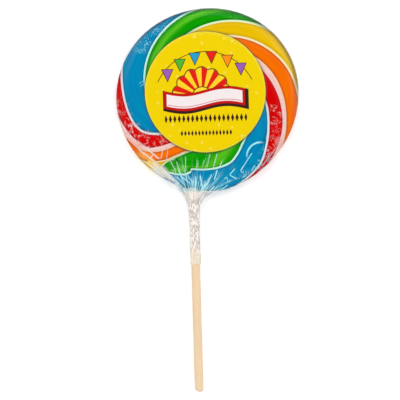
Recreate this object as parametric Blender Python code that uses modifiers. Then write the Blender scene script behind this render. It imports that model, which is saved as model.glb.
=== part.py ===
"""Swirl lollipop: a pinwheel disc of hard candy on a wooden stick, in a clear film bag.

Run with: blender --background --python part.py

Metres, +Z up. The wrapped disc lies on its flat back on z = 0, its swirl centred on the
origin and its labelled side up. The stick runs out along -Y, a little to the left of the
centre. Angles around the disc are clockwise from +Y, as seen from above.
"""
import math

import bmesh
import bpy
import numpy as np
from mathutils import Vector

MM = 0.001
COLLECTION = "swirl_lollipop"

# Wooden stick
STICK_RADIUS = 2.9 * MM
STICK_LENGTH = 178 * MM
STICK_X = -10 * MM
STICK_END_Y = -185.5 * MM
STICK_END_ROUNDING = 1.6 * MM
STICK_SIDES = 20

# Candy disc: flat faces and a rounded rim
DISC_RADIUS = 57.3 * MM
DISC_HALF_THICKNESS = 4.8 * MM
FLAT_RADIUS = 51 * MM
RIM_EDGE_HALF = 0.8 * MM
GROOVE_DEPTH = 0.35 * MM
HUB_RADIUS = 5 * MM
HUB_OVERLAP = 1 * MM
HUB_SIDES = 24
LINE_WIDTH = 1.3 * MM
LINE_WIDTH_AT_CENTRE = 0.35
LINE_FULL_WIDTH_RADIUS = 36 * MM
TOUCHING_GAP = 0.3 * MM

# The disc is not quite round: (waves around the rim, height, angle of a crest)
OUTLINE_LUMPS = ((1, 0.85 * MM, -7), (2, 0.6 * MM, 40), (3, 0.53 * MM, 59))
LUMP_FADE_POWER = 6

# Clear film bag
FILM = 0.2 * MM
FILM_GAP = 0.3 * MM
FILM_RIM_SLACK = 0.1 * MM
FILM_SIDES = 48
FILM_RIM_STEPS = 8
NECK_DIRECTION = 189
MOUTH_CELLS = 8
PLEAT_DEPTH = 0.12 * MM
SLEEVE_END_WAVE = 0.7 * MM
# Sections of the gathered neck and the sleeve: (y, half width, half height)
NECK_SECTIONS = (
    (-62.0 * MM, 8.0 * MM, 5.0 * MM),
    (-65.5 * MM, 5.1 * MM, 4.3 * MM),
    (-70.0 * MM, 3.9 * MM, 3.8 * MM),
    (-78.0 * MM, 3.6 * MM, 3.6 * MM),
    (-91.0 * MM, 3.65 * MM, 3.55 * MM),
    (-104.3 * MM, 3.6 * MM, 3.6 * MM),
)

# Round sticker on the front of the film
LABEL_RADIUS = 38.1 * MM
LABEL_THICKNESS = 0.2 * MM
LABEL_CENTRE = (-0.9 * MM, 4.25 * MM)
LABEL_SIDES = 64

# Heights, from the table up
MIDDLE_Z = FILM + FILM_GAP + DISC_HALF_THICKNESS
FILM_TOP_Z = 2 * MIDDLE_Z
LABEL_Z = FILM_TOP_Z + TOUCHING_GAP

# The arms of the swirl, clockwise, and each one's share of the turn at the hub, in degrees
COLOUR_ORDER = ("yellow", "orange", "white", "red", "blue", "green")
HUB_SHARES = (36, 31, 16, 37, 42, 44, 22, 24, 12, 26, 32, 38)
HUB_TURN = 193
# The edge at each arm's anticlockwise side, where it leaves the even turn of the hub:
# the points (radius in mm, angle in degrees) at which its spiral bends
ARM_EDGES = (
    ((36, -51), (60, 48)),
    ((36, -7), (48, 42), (60, 91)),
    ((36, 22), (42, 51), (48, 84), (53, 106), (60, 131)),
    ((36, 42), (42, 71), (48, 101), (53, 118), (60, 141)),
    ((36, 87), (42, 114), (48, 131), (53, 143), (60, 182)),
    ((36, 143), (42, 160), (44, 170), (46, 191), (53, 207), (60, 221)),
    ((30, 183), (36, 200), (42, 208), (48, 213), (60, 222)),
    ((30, 199), (36, 208), (42, 214), (48, 219), (53, 224), (60, 236)),
    ((30, 208), (36, 216), (42, 221), (48, 227), (53, 234), (60, 257)),
    ((30, 214), (36, 222), (42, 228), (48, 233), (53, 244), (60, 272)),
    ((30, 227), (36, 234), (42, 240), (46, 244), (49, 251), (53, 274), (60, 300)),
    ((36, 261), (60, 360)),
)
BEND_ROUNDING = 1.5 * MM
OUTER_END_RADIUS = 60 * MM

# Rows of points along an arm, from the hub to the rim, closer where the edges bend most
INNER_ROW_SPACING = 4 * MM
BENDS_FROM_RADIUS = 41 * MM
OUTER_ROW_SPACING = 2 * MM
RIM_ROW_ANGLES = (22, 42, 60, 75, 90)
RIM_CELL_ANGLE = 12
FEWEST_CELLS = 2

COLOURS = {
    "white": (0.90, 0.72, 0.66),
    "yellow": (0.86, 0.56, 0.004),
    "orange": (0.95, 0.20, 0.003),
    "red": (0.68, 0.004, 0.008),
    "blue": (0.004, 0.22, 0.46),
    "green": (0.02, 0.36, 0.008),
    "wood": (0.81, 0.63, 0.43),
    "label": (0.90, 0.68, 0.005),
    "film": (0.90, 0.92, 0.93),
}


def clear_scene():
    for old in list(bpy.data.objects):
        bpy.data.objects.remove(old, do_unlink=True)


def new_collection(name):
    collection = bpy.data.collections.new(name)
    bpy.context.scene.collection.children.link(collection)
    return collection


def new_material(name, colour, roughness, alpha=1.0):
    """A plain finish: its colour, how rough it is and how far it can be seen through."""
    material = bpy.data.materials.new(name)
    material.use_nodes = True
    shader = material.node_tree.nodes["Principled BSDF"]
    shader.inputs["Base Color"].default_value = (*colour, 1.0)
    shader.inputs["Roughness"].default_value = roughness
    shader.inputs["Metallic"].default_value = 0.0
    shader.inputs["Alpha"].default_value = alpha
    return material


def new_object(name, bm, collection, material=None):
    """Turn a finished bmesh into a smooth-shaded object and free it."""
    bmesh.ops.recalc_face_normals(bm, faces=bm.faces)
    mesh = bpy.data.meshes.new(name)
    bm.to_mesh(mesh)
    bm.free()
    mesh.shade_smooth()
    mesh.set_sharp_from_angle(angle=math.radians(35))
    if material:
        mesh.materials.append(material)
    thing = bpy.data.objects.new(name, mesh)
    collection.objects.link(thing)
    return thing


def new_cutter(name, bm, collection):
    """A guide for a Boolean: drawn as wires and left out of the model."""
    cutter = new_object(name, bm, collection)
    cutter.hide_render = True
    cutter.display_type = "WIRE"
    return cutter


def add_boolean(thing, other, operation):
    boolean = thing.modifiers.new(operation.lower(), "BOOLEAN")
    boolean.operation = operation
    boolean.object = other
    boolean.solver = "EXACT"


def add_rod(bm, radius, y_from, y_to, sides):
    """A round bar lying along Y on the stick's axis, added to the bmesh."""
    made = bmesh.ops.create_cone(bm, cap_ends=True, segments=sides, radius1=radius,
                                 radius2=radius, depth=y_to - y_from)
    turn = Vector((0, 0, 1)).rotation_difference(Vector((0, 1, 0))).to_matrix()
    bmesh.ops.rotate(bm, verts=made["verts"], cent=(0, 0, 0), matrix=turn)
    middle = (STICK_X, (y_from + y_to) / 2, MIDDLE_Z)
    bmesh.ops.translate(bm, verts=made["verts"], vec=middle)


# ---------------------------------------------------------------- the disc's own shape

def on_disc(radius, angle):
    """The x and y of a point of the swirl on the slightly uneven disc."""
    lump = sum(height * math.cos(waves * (angle - math.radians(crest)))
               for waves, height, crest in OUTLINE_LUMPS)
    share = (radius / DISC_RADIUS) ** LUMP_FADE_POWER
    real = radius * (1 + lump / DISC_RADIUS * share)
    return real * math.sin(angle), real * math.cos(angle)


def half_thickness(radius):
    """Flat out to FLAT_RADIUS, then a quarter of an ellipse down to a blunt edge."""
    across = max(0.0, radius - FLAT_RADIUS) / (DISC_RADIUS - FLAT_RADIUS)
    round_edge = DISC_HALF_THICKNESS * math.sqrt(max(0.0, 1 - across ** 2))
    return max(RIM_EDGE_HALF, round_edge)


# ---------------------------------------------------------------- the swirl's edges

def hub_angles():
    """The angle of each arm's first edge at the hub, where the arms share the turn."""
    turned = np.cumsum((0, *HUB_SHARES[:-1]))
    return [HUB_TURN - 360 + float(turn) for turn in turned]


def all_edges():
    """Each edge's bends from the hub out, with the first edge again, one turn on, at the end."""
    edges = [((HUB_RADIUS / MM, start), *bends)
             for start, bends in zip(hub_angles(), ARM_EDGES)]
    edges.append(tuple((radius, angle + 360) for radius, angle in edges[0]))
    return edges


def edge_angle(bends, radius):
    """An edge's angle at a radius, in radians, its bends rounded by averaging along it."""
    radii = [bend[0] * MM for bend in bends]
    angles = [bend[1] for bend in bends]
    along = radius + np.linspace(-BEND_ROUNDING, BEND_ROUNDING, 7)
    along = np.clip(along, 2 * HUB_RADIUS - along.max(), 2 * OUTER_END_RADIUS - along.min())
    slope_in = (angles[1] - angles[0]) / (radii[1] - radii[0])
    inside = np.minimum(0, along - radii[0]) * slope_in
    return math.radians(float(np.mean(np.interp(along, radii, angles) + inside)))


def beside_edge(bends, radius, offset):
    """The angle at a radius of a line that keeps a distance from an edge, + is clockwise."""
    step = 0.25 * MM
    slope = (edge_angle(bends, radius + step) - edge_angle(bends, radius - step)) / (2 * step)
    return edge_angle(bends, radius) + offset * math.hypot(1, radius * slope) / radius


def line_half_width(radius):
    """Half the width of the white line between two colours, narrower towards the hub."""
    share = min(1.0, radius / LINE_FULL_WIDTH_RADIUS)
    return LINE_WIDTH / 2 * (LINE_WIDTH_AT_CENTRE + (1 - LINE_WIDTH_AT_CENTRE) * share)


def face_rows(first):
    """The radii of an arm's rows of points, from its inner end to the rim."""
    count = math.ceil((BENDS_FROM_RADIUS - first) / INNER_ROW_SPACING)
    inner = np.linspace(first, BENDS_FROM_RADIUS, count, endpoint=False)
    outer = np.arange(BENDS_FROM_RADIUS, FLAT_RADIUS + OUTER_ROW_SPACING / 2, OUTER_ROW_SPACING)
    rim = FLAT_RADIUS + (DISC_RADIUS - FLAT_RADIUS) * np.sin(np.radians(RIM_ROW_ANGLES))
    return [float(radius) for radius in (*inner, *outer, *rim)]


# ---------------------------------------------------------------- candy

def add_arm(bm, rows, start_angle, end_angle, cells, crown):
    """A closed arm between two spirals, from the back face to the front face.

    start_angle and end_angle give its two sides' angles at a radius. crown is how much
    higher its middle is than its sides, on both faces.
    """
    start = len(bm.verts)
    grid = bmesh.ops.create_grid(bm, x_segments=len(rows) - 1, y_segments=cells, size=0.5)
    faces = list({face for vert in grid["verts"] for face in vert.link_faces})
    lifted = bmesh.ops.extrude_face_region(bm, geom=faces)
    front = {part for part in lifted["geom"] if isinstance(part, bmesh.types.BMVert)}
    bm.verts.ensure_lookup_table()
    for vert in bm.verts[start:]:
        radius = rows[round((vert.co.x + 0.5) * (len(rows) - 1))]
        across = vert.co.y + 0.5
        low, high = start_angle(radius), end_angle(radius)
        x, y = on_disc(radius, low + (high - low) * across)
        height = half_thickness(radius) - GROOVE_DEPTH + crown * (1 - (2 * across - 1) ** 4)
        vert.co = (x, y, MIDDLE_Z + (height if vert in front else -height))


def coloured_arm(name, edges, index, neighbours, material, collection, bore):
    """One coloured arm, which stops short of the white candy on either side of it."""
    def side(edge, neighbour, sign):
        if neighbour == "white":
            return lambda radius: beside_edge(edges[edge], radius, sign * TOUCHING_GAP)
        return lambda radius: beside_edge(
            edges[edge], radius, sign * (line_half_width(radius) + TOUCHING_GAP))

    start = side(index, neighbours[0], 1)
    end = side(index + 1, neighbours[1], -1)
    rim_span = math.degrees(end(DISC_RADIUS) - start(DISC_RADIUS))
    cells = max(FEWEST_CELLS, math.ceil(rim_span / RIM_CELL_ANGLE))
    bm = bmesh.new()
    add_arm(bm, face_rows(HUB_RADIUS + TOUCHING_GAP), start, end, cells, GROOVE_DEPTH)
    arm = new_object(name, bm, collection, material)
    add_boolean(arm, bore, "DIFFERENCE")


def white_candy(edges, colours, material, collection, guides, bore):
    """The hub, the white arms and the thin white lines between the coloured arms."""
    bm = bmesh.new()
    rows = [HUB_RADIUS - HUB_OVERLAP, *face_rows(HUB_RADIUS + TOUCHING_GAP)]
    for index, colour in enumerate(colours):
        bends = edges[index]
        if colour == "white":
            add_arm(bm, rows, lambda radius: edge_angle(edges[index], radius),
                    lambda radius: edge_angle(edges[index + 1], radius), 2, GROOVE_DEPTH)
        elif colours[index - 1] != "white":
            add_arm(bm, rows, lambda radius: beside_edge(bends, radius, -line_half_width(radius)),
                    lambda radius: beside_edge(bends, radius, line_half_width(radius)), 1, 0.0)
    white = new_object("candy_white", bm, collection, material)
    bm = bmesh.new()
    hub_height = 2 * (DISC_HALF_THICKNESS - GROOVE_DEPTH / 2)
    bmesh.ops.create_cone(bm, cap_ends=True, segments=HUB_SIDES, radius1=HUB_RADIUS,
                          radius2=HUB_RADIUS, depth=hub_height)
    bmesh.ops.translate(bm, verts=bm.verts, vec=(0, 0, MIDDLE_Z))
    add_boolean(white, new_cutter("hub", bm, guides), "UNION")
    add_boolean(white, bore, "DIFFERENCE")


def make_candy(materials, collection, guides):
    """The disc: white candy with ten coloured arms let into it, and the stick's bore."""
    bm = bmesh.new()
    bore_top = STICK_END_Y + STICK_LENGTH + TOUCHING_GAP
    add_rod(bm, STICK_RADIUS + TOUCHING_GAP * 4 / 3, -DISC_RADIUS - FLAT_RADIUS, bore_top,
            STICK_SIDES)
    bore = new_cutter("stick_bore", bm, guides)
    edges = all_edges()
    colours = COLOUR_ORDER * 2
    white_candy(edges, colours, materials["white"], collection, guides, bore)
    for index, colour in enumerate(colours):
        if colour == "white":
            continue
        neighbours = colours[index - 1], colours[(index + 1) % len(colours)]
        name = f"candy_{colour}_{index // len(COLOUR_ORDER) + 1}"
        coloured_arm(name, edges, index, neighbours, materials[colour], collection, bore)


# ---------------------------------------------------------------- stick, label and film

def make_stick(material, collection):
    """A turned hardwood stick with both ends rounded over."""
    bm = bmesh.new()
    add_rod(bm, STICK_RADIUS, STICK_END_Y, STICK_END_Y + STICK_LENGTH, STICK_SIDES)
    end_edges = [edge for edge in bm.edges if abs(edge.verts[0].co.y - edge.verts[1].co.y) < MM]
    bmesh.ops.bevel(bm, geom=end_edges, offset=STICK_END_ROUNDING, segments=2, profile=0.5,
                    affect="EDGES", material=-1)
    new_object("stick", bm, collection, material)


def make_label(material, collection):
    """A thin round sticker on the front of the film."""
    bm = bmesh.new()
    bmesh.ops.create_cone(bm, cap_ends=True, segments=LABEL_SIDES, radius1=LABEL_RADIUS,
                          radius2=LABEL_RADIUS, depth=LABEL_THICKNESS)
    middle = (*LABEL_CENTRE, LABEL_Z + LABEL_THICKNESS / 2)
    bmesh.ops.translate(bm, verts=bm.verts, vec=middle)
    new_object("label", bm, collection, material)


def film_profile():
    """Half a section of the bag round the disc, from the middle of its back to its front."""
    rim_depth = DISC_RADIUS + FILM_GAP + FILM_RIM_SLACK + FILM - FLAT_RADIUS
    points = [(0.0, -MIDDLE_Z)]
    for step in range(FILM_RIM_STEPS + 1):
        angle = math.pi * (step / FILM_RIM_STEPS - 0.5)
        points.append((FLAT_RADIUS + rim_depth * math.cos(angle), MIDDLE_Z * math.sin(angle)))
    points.append((0.0, MIDDLE_Z))
    return points


def spun_bag(bm):
    """Turn the profile into the skin of the whole disc, its seams on the neck's mouth."""
    first_angle = math.radians(NECK_DIRECTION - 180 * MOUTH_CELLS / FILM_SIDES)
    start = Vector((math.sin(first_angle), math.cos(first_angle), 0))
    verts = [bm.verts.new(start * radius + Vector((0, 0, MIDDLE_Z + height)))
             for radius, height in film_profile()]
    edges = [bm.edges.new(pair) for pair in zip(verts, verts[1:])]
    bmesh.ops.spin(bm, geom=verts + edges, cent=(0, 0, 0), axis=(0, 0, -1),
                   angle=2 * math.pi, steps=FILM_SIDES, use_merge=True)
    bmesh.ops.remove_doubles(bm, verts=bm.verts, dist=0.01 * MM)


def open_mouth(bm):
    """Remove the rim of the skin where the film runs on to the neck."""
    half_mouth = math.radians(180 * MOUTH_CELLS / FILM_SIDES)
    towards = math.radians(NECK_DIRECTION)
    opened = []
    for face in bm.faces:
        middle = face.calc_center_median()
        away = math.remainder(math.atan2(middle.x, middle.y) - towards, 2 * math.pi)
        if abs(away) < half_mouth and math.hypot(middle.x, middle.y) > FLAT_RADIUS - MM:
            opened.append(face)
    bmesh.ops.delete(bm, geom=opened, context="FACES")


def mouth_points(bm):
    """The mouth's points in order, along the front from right to left and back underneath."""
    rim = [edge for edge in bm.edges if edge.is_boundary]
    beside = {}
    for edge in rim:
        for vert in edge.verts:
            beside.setdefault(vert, []).append(edge.other_vert(vert))
    first = max(beside, key=lambda vert: (round(vert.co.z, 6), vert.co.x))
    order = [first, max(beside[first], key=lambda vert: vert.co.z)]
    while len(order) < len(beside):
        ahead = [vert for vert in beside[order[-1]] if vert is not order[-2]]
        order.append(ahead[0])
    return order


def draw_neck(bm):
    """Run the mouth's edge out through the neck's sections to the end of the sleeve."""
    ring = mouth_points(bm)
    last_y = NECK_SECTIONS[-1][0]
    for y, half_width, half_height in NECK_SECTIONS:
        rim = [edge for edge in bm.edges if edge.is_boundary]
        made = bmesh.ops.extrude_edge_only(bm, edges=rim)
        fresh = {part for part in made["geom"] if isinstance(part, bmesh.types.BMVert)}
        ring = [next(edge.other_vert(vert) for edge in vert.link_edges
                     if edge.other_vert(vert) in fresh) for vert in ring]
        for place, vert in enumerate(ring):
            turn = math.radians(45 + 360 * place / len(ring))
            pleat = PLEAT_DEPTH * (1 if place % 2 else -1)
            wave = SLEEVE_END_WAVE * math.sin(3 * turn) if y == last_y else 0.0
            vert.co = (STICK_X + (half_width + pleat) * math.cos(turn), y + wave,
                       MIDDLE_Z + (half_height + pleat) * math.sin(turn))


def make_wrapper(material, collection):
    """The clear bag: drawn tight over the disc, gathered at its rim and round the stick."""
    bm = bmesh.new()
    spun_bag(bm)
    for vert in bm.verts:
        radius = math.hypot(vert.co.x, vert.co.y)
        vert.co.xy = on_disc(radius, math.atan2(vert.co.x, vert.co.y))
    open_mouth(bm)
    draw_neck(bm)
    wrapper = new_object("wrapper", bm, collection, material)
    thickness = wrapper.modifiers.new("film", "SOLIDIFY")
    thickness.thickness = FILM
    thickness.offset = -1
    thickness.use_even_offset = True


def main():
    clear_scene()
    parts = new_collection(COLLECTION)
    guides = new_collection("cutters")
    materials = {
        name: new_material(name, colour, 0.6 if name == "wood" else 0.25,
                           0.2 if name == "film" else 1.0)
        for name, colour in COLOURS.items()
    }
    make_candy(materials, parts, guides)
    make_stick(materials["wood"], parts)
    make_wrapper(materials["film"], parts)
    make_label(materials["label"], parts)


main()
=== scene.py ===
# %% [markdown]
# # A swirl lollipop in its clear film
# Twelve ropes of hard candy were twisted into a pinwheel, pressed flat round a wooden stick,
# bagged in clear film and given a round sticker. The CAD model already says how big
# everything is and where it lies. This lesson dresses it: finer candy with a rope-like
# crown, a creased film you can see through, wood with a grain and a printed sticker.
# The lollipop lies on its back, so "up" is +Z and the stick points along -Y.

# %% Load the packed model
import functools
import math

import bmesh
import bpy
import numpy as np
from mathutils import Matrix, Vector, noise


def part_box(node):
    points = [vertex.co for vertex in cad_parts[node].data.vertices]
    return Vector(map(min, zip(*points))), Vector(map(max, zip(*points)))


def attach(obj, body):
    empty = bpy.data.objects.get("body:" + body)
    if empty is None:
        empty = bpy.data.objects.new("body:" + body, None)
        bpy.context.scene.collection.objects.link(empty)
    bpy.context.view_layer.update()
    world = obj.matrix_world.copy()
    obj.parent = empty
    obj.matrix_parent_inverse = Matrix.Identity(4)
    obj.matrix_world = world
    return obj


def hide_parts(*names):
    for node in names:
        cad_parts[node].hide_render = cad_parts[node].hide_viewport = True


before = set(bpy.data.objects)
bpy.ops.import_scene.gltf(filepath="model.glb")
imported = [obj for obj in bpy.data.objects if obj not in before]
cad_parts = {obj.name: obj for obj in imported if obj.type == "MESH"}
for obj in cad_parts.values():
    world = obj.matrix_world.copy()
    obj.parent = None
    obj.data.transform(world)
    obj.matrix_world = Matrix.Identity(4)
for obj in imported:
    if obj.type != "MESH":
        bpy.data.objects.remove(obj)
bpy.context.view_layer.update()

MM = 0.001
print("CAD nodes:", ", ".join(sorted(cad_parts)))

# %% [markdown]
# ## Heights and places from the CAD
# Every size that the dressed pieces share with the solids is read from the solids or is the
# same named value that made them. Reading a box is safer than typing a number twice.

# %% Read the boxes
stick_low, stick_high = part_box("stick")
label_low, label_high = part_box("label")
wrapper_low, wrapper_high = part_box("wrapper")

STICK_X = (stick_low.x + stick_high.x) / 2
STICK_RADIUS = (stick_high.x - stick_low.x) / 2
LABEL_CENTRE = (label_low + label_high) / 2
LABEL_RADIUS = (label_high.x - label_low.x) / 2
MIDDLE_Z = (wrapper_low.z + wrapper_high.z) / 2
print(f"stick {2000 * STICK_RADIUS:.1f} mm thick, sticker {2000 * LABEL_RADIUS:.1f} mm across, "
      f"middle of the candy {1000 * MIDDLE_Z:.1f} mm up")

# %% [markdown]
# ## The swirl as a drawing
# A pinwheel is easiest to describe in polar form: at each distance from the centre, an edge
# between two colours has an angle, clockwise from +Y. Close to the centre the arms share
# the turn evenly. Further out every edge bends on its own way to the rim, because the
# ropes were squeezed while warm. The list holds those bends as (millimetres, degrees), and
# they are rounded where they are used. One edge has a sharp step beside the stick, where
# two ropes slipped past each other, so it is rounded less.

# %% The swirl's named values
HUB_RADIUS = 5 * MM
COLOUR_ORDER = ("yellow", "orange", "white", "red", "blue", "green")
COLOURS_ROUND = COLOUR_ORDER * 2
HUB_SHARES = (36, 31, 16, 37, 42, 44, 22, 24, 12, 26, 32, 38)
HUB_TURN = 193
ARM_EDGES = (
    ((36, -42), (44, -9), (54, 30), (60, 54)),
    ((36, -4), (48, 46), (54, 72), (57.3, 91), (60, 102)),
    ((36, 31), (42, 59), (48, 89), (52, 107), (54, 113), (60, 135)),
    ((36, 47), (42, 77), (48, 101), (52, 115), (54, 124), (60, 145)),
    ((36, 90), (42, 114), (48, 130), (52, 138), (54, 143), (56, 153), (60, 178)),
    ((36, 143), (39.2, 151), (42.8, 160.8), (43.9, 171), (44.35, 182), (44.75, 190), (45.1, 193.9),
     (47.2, 194.3), (49.5, 197.4), (51.3, 203.5), (52.4, 210), (60, 219.5)),
    ((30, 186), (35.5, 202), (42, 210.4), (48, 214.8), (51.5, 215.3), (60, 222)),
    ((30, 188), (35.5, 203.4), (42, 211.5), (46, 214.6), (49, 218), (51.5, 221), (54, 222),
     (60, 234)),
    ((30, 208), (36, 216), (42, 221), (48, 227), (53, 234), (60, 257)),
    ((30, 214), (36, 221), (42, 226), (48, 231), (50, 235), (53, 244), (60, 272)),
    ((30, 227), (36, 234), (42, 240), (46, 245), (48, 250), (50, 259), (52, 272), (54, 281),
     (60, 303)),
    ((36, 267), (48, 317), (60, 366)),
)
BEND_ROUNDING = 1.5 * MM
STEPPED_EDGE = 5
STEP_ROUNDING = 0.5 * MM
print(len(ARM_EDGES), "edges in the pinwheel")

# %% [markdown]
# ## The disc's outline and thickness
# The disc was pressed while it was soft, so its outline is not a true circle. It could be
# drawn point by point, but a circle with a few long waves on it is shorter and always
# smooth. Each wave has a number of crests, a height and the angle of its first crest, and
# the candy also swells a little where the stick pushed it out. Both faces are flat, and
# the rim is rounded as a quarter of an ellipse.

# %% Where a point of the swirl lies
DISC_RADIUS = 57.3 * MM
FLAT_RADIUS = 51 * MM
HALF_THICKNESS = 4.8 * MM
RIM_EDGE_HALF = 0.8 * MM
OUTLINE_WAVES = ((0, 0.35 * MM, 0), (1, 0.95 * MM, 28), (2, 0.62 * MM, 54), (3, 0.53 * MM, 59))
STICK_SWELLING = 1.25 * MM
SWELLING_AT = 174
SWELLING_NARROWNESS = 14
SWELL_FADE = 6


def outline_swell(angle):
    """How much further out than a true circle the rim is at an angle."""
    facing = max(0.0, math.cos(angle - math.radians(SWELLING_AT)))
    return STICK_SWELLING * facing ** SWELLING_NARROWNESS + sum(
        height * math.cos(crests * (angle - math.radians(first)))
        for crests, height, first in OUTLINE_WAVES)


def on_disc(radius, angle):
    """The x and y of a point of the swirl; the swelling fades quickly towards the centre."""
    swell = outline_swell(angle) / DISC_RADIUS
    real = radius * (1 + swell * (radius / DISC_RADIUS) ** SWELL_FADE)
    return real * math.sin(angle), real * math.cos(angle)


def half_thickness(radius, flat=FLAT_RADIUS, rim=DISC_RADIUS, middle=HALF_THICKNESS,
                   blunt=RIM_EDGE_HALF):
    """Half the thickness: even out to the flat's edge, then round down to the rim."""
    across = min(1.0, max(0.0, radius - flat) / (rim - flat))
    return max(blunt, middle * math.sqrt(1 - across ** 2))


print(f"the rim stands {1000 * min(outline_swell(math.radians(a)) for a in range(360)):.2f} to "
      f"{1000 * max(outline_swell(math.radians(a)) for a in range(360)):.2f} mm past the circle")


# %% The edges between the arms
def arm_edges():
    """Each edge's bends from the hub outwards; the first comes again at the end, one turn on."""
    starts = HUB_TURN - 360 + np.cumsum((0, *HUB_SHARES[:-1]))
    edges = [((HUB_RADIUS / MM, float(start)), *bends)
             for start, bends in zip(starts, ARM_EDGES)]
    edges.append(tuple((radius, angle + 360) for radius, angle in edges[0]))
    return edges


def edge_angle(bends, radius):
    """An edge's angle at a radius, in radians, its bends rounded by averaging along it."""
    radii = [bend[0] * MM for bend in bends]
    angles = [bend[1] for bend in bends]
    rounding = STEP_ROUNDING if bends[1:] == ARM_EDGES[STEPPED_EDGE] else BEND_ROUNDING
    along = np.add.outer(radius, np.linspace(-rounding, rounding, 9))
    slope_in = (angles[1] - angles[0]) / (radii[1] - radii[0])
    slope_out = (angles[-1] - angles[-2]) / (radii[-1] - radii[-2])
    beyond = (np.minimum(0, along - radii[0]) * slope_in
              + np.maximum(0, along - radii[-1]) * slope_out)
    return np.radians(np.mean(np.interp(along, radii, angles) + beyond, axis=-1))


def beside_edge(bends, radius, offset):
    """The angle at a radius of a line that keeps a distance from an edge, + is clockwise."""
    shifts = abs(offset) * np.linspace(-1, 1, 13)
    aside = np.sqrt(offset ** 2 - shifts ** 2) / radius
    angles = edge_angle(bends, radius + shifts)
    return float(np.max(angles + aside) if offset > 0 else np.min(angles - aside))


edges = arm_edges()
print("yellow's first edge turns",
      f"{math.degrees(edge_angle(edges[0], DISC_RADIUS) - edge_angle(edges[0], HUB_RADIUS)):.0f}",
      "degrees on its way out")

# %% [markdown]
# ## Candy ropes in bmesh
# An arm is a strip between two spirals. A grid of small cells is made with one operator,
# extruded once so that it has a back and a front, and each of its points is then carried
# to its place on the swirl. That keeps clean quads that follow the rope, which a Boolean
# or a remesh would not. The points also remember how far along and across the rope they
# are, so that the candy's streaks can follow the twist later. Blender's extrude and spin
# may store the same points in another order each time, so each mesh is sorted at the end.

# %% Rows of points from the hub to the rim
INNER_ROW_GAP = 1.1 * MM
CLOSE_ROWS = ((41, 43.4, 0.35), (43.4, 46.4, 0.15), (46.4, 51, 0.35))
RIM_ROW_ANGLES = np.radians(np.arange(2, 91, 5.5))


def row_radii():
    """The radii of the rows: close together where the edges bend, and round the rim."""
    inner = np.arange(HUB_RADIUS, CLOSE_ROWS[0][0] * MM, INNER_ROW_GAP)
    outer = np.concatenate([np.arange(*rows) for rows in CLOSE_ROWS]) * MM
    rim = FLAT_RADIUS + (DISC_RADIUS - FLAT_RADIUS) * np.sin(RIM_ROW_ANGLES)
    return [float(radius) for radius in (*inner, *outer, *rim)]


ROWS = row_radii()
print(len(ROWS), "rows of points along each rope")

# %% How wide the thin white lines are
LINE_WIDTH = 1.1 * MM
LINE_WIDTH_AT_CENTRE = 0.35
LINE_FULL_WIDTH_RADIUS = 36 * MM
SLIM_LINES = (6, 7)
SLIM_SHARE = 0.6
PINCH = 0.8
PINCH_AT = 46.3 * MM
PINCH_REACH = 1.2 * MM


def line_half_width(radius, index):
    """Half a thin line's width: it narrows towards the hub and is pinched at the step."""
    share = min(1.0, radius / LINE_FULL_WIDTH_RADIUS)
    widest = LINE_WIDTH * (SLIM_SHARE if index in SLIM_LINES else 1.0)
    if index == STEPPED_EDGE:
        widest *= 1 - PINCH * max(0.0, 1 - abs(radius - PINCH_AT) / PINCH_REACH)
    return widest / 2 * (LINE_WIDTH_AT_CENTRE + (1 - LINE_WIDTH_AT_CENTRE) * share)


print(f"a line is {2000 * line_half_width(HUB_RADIUS, 1):.2f} mm wide at the hub and "
      f"{2000 * line_half_width(DISC_RADIUS, 1):.2f} mm at the rim")


# %% A rope's path and height
CROWN = 0.62 * MM
CROWN_SQUARENESS = 2.6
UNEVEN = 0.07 * MM
UNEVEN_LENGTH = 9 * MM
UNEVEN_ACROSS = 1.5


def rope_path(first_side, second_side):
    """Each row's two side angles, how far along the rope it lies, and how fast that grows."""
    sides = [(first_side(radius), second_side(radius)) for radius in ROWS]
    middles = [Vector(on_disc(radius, sum(pair) / 2)) for radius, pair in zip(ROWS, sides)]
    steps = [0.0] + [(b - a).length for a, b in zip(middles, middles[1:])]
    along = np.cumsum(steps)
    return sides, along, np.gradient(along, ROWS)


def rope_height(radius, share, along, crown, seed):
    """Half the candy's height: the disc's, with the rope's crown and a slight unevenness."""
    off_middle = abs(2 * share - 1)
    height = half_thickness(radius) - CROWN + crown * (1 - off_middle ** CROWN_SQUARENESS)
    bumps = noise.noise(Vector((along / UNEVEN_LENGTH, share * UNEVEN_ACROSS, seed)))
    return height + UNEVEN * bumps * min(1.0, height / HALF_THICKNESS) * (1 - off_middle)


print(f"a rope's crown stands {1000 * CROWN:.2f} mm above its grooves")


# %% One rope
UV_UNIT = 10 * MM
ROPE_SHIFT = 3.7
FRONT_SHIFT = 3
NO_GLOW = ((1.0, 1.0, 1.0), (1.0, 1.0, 1.0))


def rope_memory(bm):
    """The layers in which points remember their place on the rope."""
    return {
        "share": bm.verts.layers.float.new("share"),
        "side_gap": bm.verts.layers.float.new("side_gap"),
        "wide": bm.verts.layers.float.new("wide"),
        "glow": bm.verts.layers.float_color.new("glow"),
        "rope": bm.loops.layers.uv.new("rope"),
    }


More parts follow.
